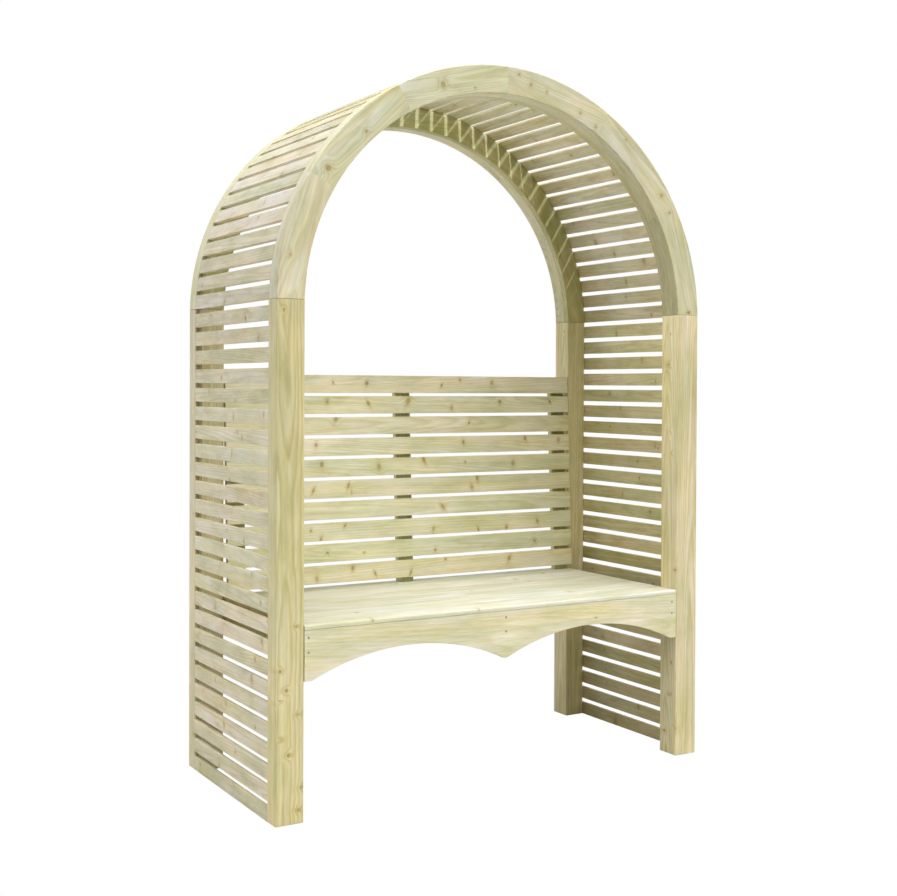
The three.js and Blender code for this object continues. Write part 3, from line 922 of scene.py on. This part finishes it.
def timber(slot):
    """Planed, pressure-treated softwood: rings round a pith, knots, fibres and a green tinge."""
    early, late, contrast, spread, blotchy = TIMBERS[slot]
    n = Nodes(slot)
    grain, knot = n.attribute("grain"), n.split(n.attribute("knot"))
    tone, mark = n.split(n.attribute("tone")), n.split(n.attribute("mark"))
    fibre, streak, band, cloud = (n.noise(grain, name) for name in ("fibre", "streak", "band", "cloud"))
    away = n.length(knot[0], knot[1])
    halo = n.math("EXPONENT", n.product(away, away, -HALO_FALL))
    ring = year_rings(n, grain, knot, halo)
    darkness = n.product(ring, n.product(n.total(streak, PALE_STREAK_SHARE), contrast), clamp=True)
    surface = n.mix(darkness, early, late)

    hue = n.total(n.product(tone[1], BOARD_HUE), LEAST_HUE, n.product(cloud, CLOUD_HUE),
                  n.product(band, BAND_HUE), clamp=True)
    surface = n.tint(surface, n.mix(hue, GREENISH, PINKISH))
    # The board's tone, hue and gold set its level and colour; on the ribs, the fixing strips, the right
    # wall, the left roof groups and the back left post they carry painted light and shade
    level = n.total(n.centred(fibre, FIBRE_LEVEL), n.centred(streak, STREAK_LEVEL),
                    n.centred(cloud, CLOUD_LEVEL), n.product(tone[0], spread), 1.0)
    gold = n.total(n.product(tone[2], BOARD_GOLD), n.product(band, BAND_GOLD))
    blue = n.product(n.math("POWER", level, DARK_YELLOWING), n.math("SUBTRACT", PLAIN_BLUE, gold))
    surface = n.tint(surface, n.add("ShaderNodeCombineColor", {0: level, 1: level, 2: blue}).outputs[0])
    blotch = n.between(n.noise(grain, "blotch"), *BLOTCH_EDGE)
    surface = n.tint(surface, BLOTCH, n.product(blotch, blotchy))
    stain = n.between(n.noise(grain, "stain"), *STAIN_EDGE)
    surface = n.tint(surface, n.mix(stain, YELLOW_STAIN, BLUE_STAIN))

    surface = n.tint(surface, HALO, n.product(halo, HALO_SHARE))
    surface = n.tint(surface, TAIL, n.product(knot_tails(n, knot, mark), TAIL_SHARE, clamp=True))
    inside = n.math("SUBTRACT", 1.0, n.between(away, *KNOT_EDGE))
    heart = n.mix(n.between(away, *HEART_EDGE), KNOT_HEART, KNOT_RIM)
    surface = n.mix(n.product(inside, n.product(mark[0], KNOT_COVER)), surface, heart)
    normal = n.add("ShaderNodeNewGeometry", {}).outputs["Normal"]
    facing = n.math("ABSOLUTE", n.vector("DOT_PRODUCT", normal, n.attribute("along"), output=1))
    surface = n.tint(surface, END_GRAIN, n.product(n.between(facing, *END_EDGE), END_SHARE))

    rough = n.total(n.product(streak, STREAK_ROUGHNESS), n.product(ring, RING_ROUGHNESS), ROUGHNESS)
    height = n.total(n.product(fibre, FIBRE_RELIEF), n.product(ring, RING_RELIEF),
                     n.product(inside, KNOT_RELIEF))
    relief = {"Height": height, "Strength": RELIEF_STRENGTH, "Distance": RELIEF_DEPTH}
    for source, socket in ((surface, "Base Color"), (rough, "Roughness"),
                           (n.add("ShaderNodeBump", relief).outputs[0], "Normal")):
        n.tree.links.new(source, n.shader.inputs[socket])
    n.shader.inputs["Specular IOR Level"].default_value = SHEEN
    return n.material


MADE = {}


def material_for(slot):
    if slot not in MADE:
        MADE[slot] = timber(slot)
    return MADE[slot]


# Studio
FLOOR_RADIUS = 2.2
FLOOR_PALE = (0.5, 0.5, 0.5, 1)
FLOOR_ROUGHNESS = 0.9
WHITE = (1, 1, 1, 1)
AMBIENT = 0.02
CAMERA_AZIMUTH = math.radians(-32.243)
CAMERA_ELEVATION = math.radians(0.674)
CAMERA_ROLL = math.radians(0.275)
CAMERA_PLACE = (-1.9234, -3.4155, 1.0772)
PICTURE_WIDTH = 897
FOCAL_PIXELS = 1356.3
CENTRE_SHIFT_PIXELS = (-67.8, -45.1)
SENSOR = 36.0


def make_camera():
    camera = bpy.data.cameras.new("camera")
    camera.sensor_width = SENSOR
    camera.lens = SENSOR * FOCAL_PIXELS / PICTURE_WIDTH
    camera.shift_x = CENTRE_SHIFT_PIXELS[0] / PICTURE_WIDTH
    camera.shift_y = CENTRE_SHIFT_PIXELS[1] / PICTURE_WIDTH
    holder = bpy.data.objects.new("camera", camera)
    bpy.context.scene.collection.objects.link(holder)
    back = Vector((math.sin(CAMERA_AZIMUTH) * math.cos(CAMERA_ELEVATION),
                   -math.cos(CAMERA_AZIMUTH) * math.cos(CAMERA_ELEVATION), math.sin(CAMERA_ELEVATION)))
    right = (-back).cross(Z).normalized()
    up = back.cross(right)
    turn = Matrix((right, up, back)).transposed() @ Matrix.Rotation(CAMERA_ROLL, 3, "Z")
    holder.matrix_world = Matrix.Translation(CAMERA_PLACE) @ turn.to_4x4()
    bpy.context.scene.camera = holder


def show_white(tree, soft, bright, end):
    """The camera sees plain white; the light that reaches the arbour is the soft shader's."""
    bright.inputs[0].default_value = WHITE
    bright.inputs[1].default_value = 1.0
    seen = tree.nodes.new("ShaderNodeLightPath")
    mix = tree.nodes.new("ShaderNodeMixShader")
    for source, socket in ((seen.outputs["Is Camera Ray"], mix.inputs[0]), (soft.outputs[0], mix.inputs[1]),
                           (bright.outputs[0], mix.inputs[2]), (mix.outputs[0], end.inputs[0])):
        tree.links.new(source, socket)


def make_floor():
    bm = bmesh.new()
    bmesh.ops.create_circle(bm, cap_ends=True, radius=FLOOR_RADIUS, segments=FLOOR_SIDES)
    mesh = bpy.data.meshes.new("floor")
    bm.to_mesh(mesh)
    bm.free()
    n = Nodes("floor")
    n.shader.inputs["Base Color"].default_value = FLOOR_PALE
    n.shader.inputs["Roughness"].default_value = FLOOR_ROUGHNESS
    show_white(n.tree, n.shader, n.tree.nodes.new("ShaderNodeEmission"), n.tree.nodes["Material Output"])
    mesh.materials.append(n.material)
    floor = bpy.data.objects.new("floor", mesh)
    bpy.context.scene.collection.objects.link(floor)


def make_world():
    world = bpy.data.worlds.new("studio")
    world.use_nodes = True
    bpy.context.scene.world = world
    tree = world.node_tree
    soft = tree.nodes["Background"]
    soft.inputs[0].default_value = WHITE
    soft.inputs[1].default_value = AMBIENT
    show_white(tree, soft, tree.nodes.new("ShaderNodeBackground"), tree.nodes["World Output"])


# Colours of the lights
COOL, PLAIN, WARM = (0.97, 0.98, 1.07), (1, 1, 1), (1.01, 1, 0.97)
BLUISH, BLUER = (0.94, 0.97, 1.15), (0.95, 0.98, 1.3)
MELLOW, BROWN = (1.01, 1, 0.92), (1.6, 1, 0.3)

# The pieces that a light reaches or misses, by the start of their names
ALL, NONE = ("",), ()
INNER_RIBS = ("back_rib_inner",)
SEAT = ("seat_board",)
PANEL = ("back_slat",)
RIGHT_WALL = ("side_slats_right",)
RIGHT_ROOF = ("arch_slats_1", "arch_slats_2", "arch_slats_3", "arch_slats_4")
RIGHT_INSIDE = RIGHT_WALL + RIGHT_ROOF
RIGHT_SOFFIT = ("front_rib_face_1", "front_rib_face_2", "front_rib_face_3", "front_rib_inner_1",
                "front_rib_inner_2")
LEFT_FOOT = ("front_rib_face_6", "back_rib_face_5", "back_rib_face_6")

# Small lamps: two shine down through the roof onto the back rib, the others stand before the opening.
# Place, power in watts, radius, colour and reach
LAMPS = {"lamp_middle": ((0.1, -1.4, 4.1), 280, 0.025, BLUISH, INNER_RIBS),
         "lamp_right": ((2.4, -1.4, 4.6), 400, 0.025, BLUISH, INNER_RIBS),
         "lamp_post": ((-0.3, -0.6, 1.9), 20, 0.2, PLAIN, ("post_front_right",)),
         "lamp_wall": ((0.1, -0.45, 2.0), 18, 0.2, MELLOW, RIGHT_WALL),
         "lamp_below": ((-0.5, -0.9, 0.25), 1.3, 0.2, BROWN, RIGHT_WALL),
         "lamp_panel": ((-0.3, -0.4, 1.0), 6.8, 0.2, COOL, PANEL)}

# Large soft lights: the way towards them, their strength and colour, what they reach and miss
SOFT_LIGHTS = {
    "soft_left_back": ((-1, 0.6, 0), 0.55, COOL, ALL, RIGHT_SOFFIT),
    "soft_left": ((-1, 0, 0.3), 0.42, COOL, ALL, RIGHT_INSIDE + RIGHT_SOFFIT + LEFT_FOOT + PANEL),
    "soft_high": ((0, -1, 1.9), 2.6, WARM, ALL, RIGHT_WALL + PANEL),
    "soft_high_wall": ((0, -1, 1.9), 0.8, WARM, RIGHT_WALL, NONE),
    "soft_high_panel": ((0, -1, 1.9), 2.15, WARM, PANEL, NONE),
    "soft_high_seat": ((0, -1, 1.9), 0.3, PLAIN, SEAT, NONE),
    "soft_top": ((0, 0, 1), 1.6, COOL, ALL, SEAT + PANEL),
    "soft_top_seat": ((0, 0, 1), 1.6, BLUER, SEAT, NONE),
    "soft_back": ((0, 1, 0), 2.2, PLAIN, ALL, SEAT + RIGHT_INSIDE),
    "soft_back_wall": ((0, 1, 0), 4.4, MELLOW, RIGHT_WALL, NONE),
    "soft_back_roof": ((0, 1, 0), 4.1, COOL, RIGHT_ROOF, NONE),
    "soft_right": ((1, -1, -0.3), 1.1, PLAIN, ALL, PANEL)}
SOFT_ANGLE = math.radians(80)


def add_light(name, kind, tint, reach, missed=NONE):
    light = bpy.data.lights.new(name, kind)
    light.color = tint
    holder = bpy.data.objects.new(name, light)
    bpy.context.scene.collection.objects.link(holder)
    if (reach, missed) != (ALL, NONE):
        lit = bpy.data.collections.new(f"lit_by_{name}")
        for piece in bpy.data.objects:
            if piece.type == "MESH" and piece.name.startswith(reach) and not piece.name.startswith(missed):
                lit.objects.link(piece)
        holder.light_linking.receiver_collection = lit
    return light, holder


def make_lights():
    for name, (place, power, radius, tint, reach) in LAMPS.items():
        light, holder = add_light(name, "POINT", tint, reach)
        light.energy, light.shadow_soft_size = power, radius
        holder.location = place
    for name, (way, strength, tint, reach, missed) in SOFT_LIGHTS.items():
        light, holder = add_light(name, "SUN", tint, reach, missed)
        light.energy, light.angle = strength, SOFT_ANGLE
        holder.rotation_euler = Vector(way).to_track_quat("Z", "Y").to_euler()


make_camera()
make_posts()
make_ribs()
make_side_slats()
make_roof()
make_back_slats()
make_battens()
make_seat()
make_apron()
make_screws()
make_seat_frame()
make_floor()
make_world()
make_lights()
bpy.context.scene.view_settings.view_transform = "Standard"
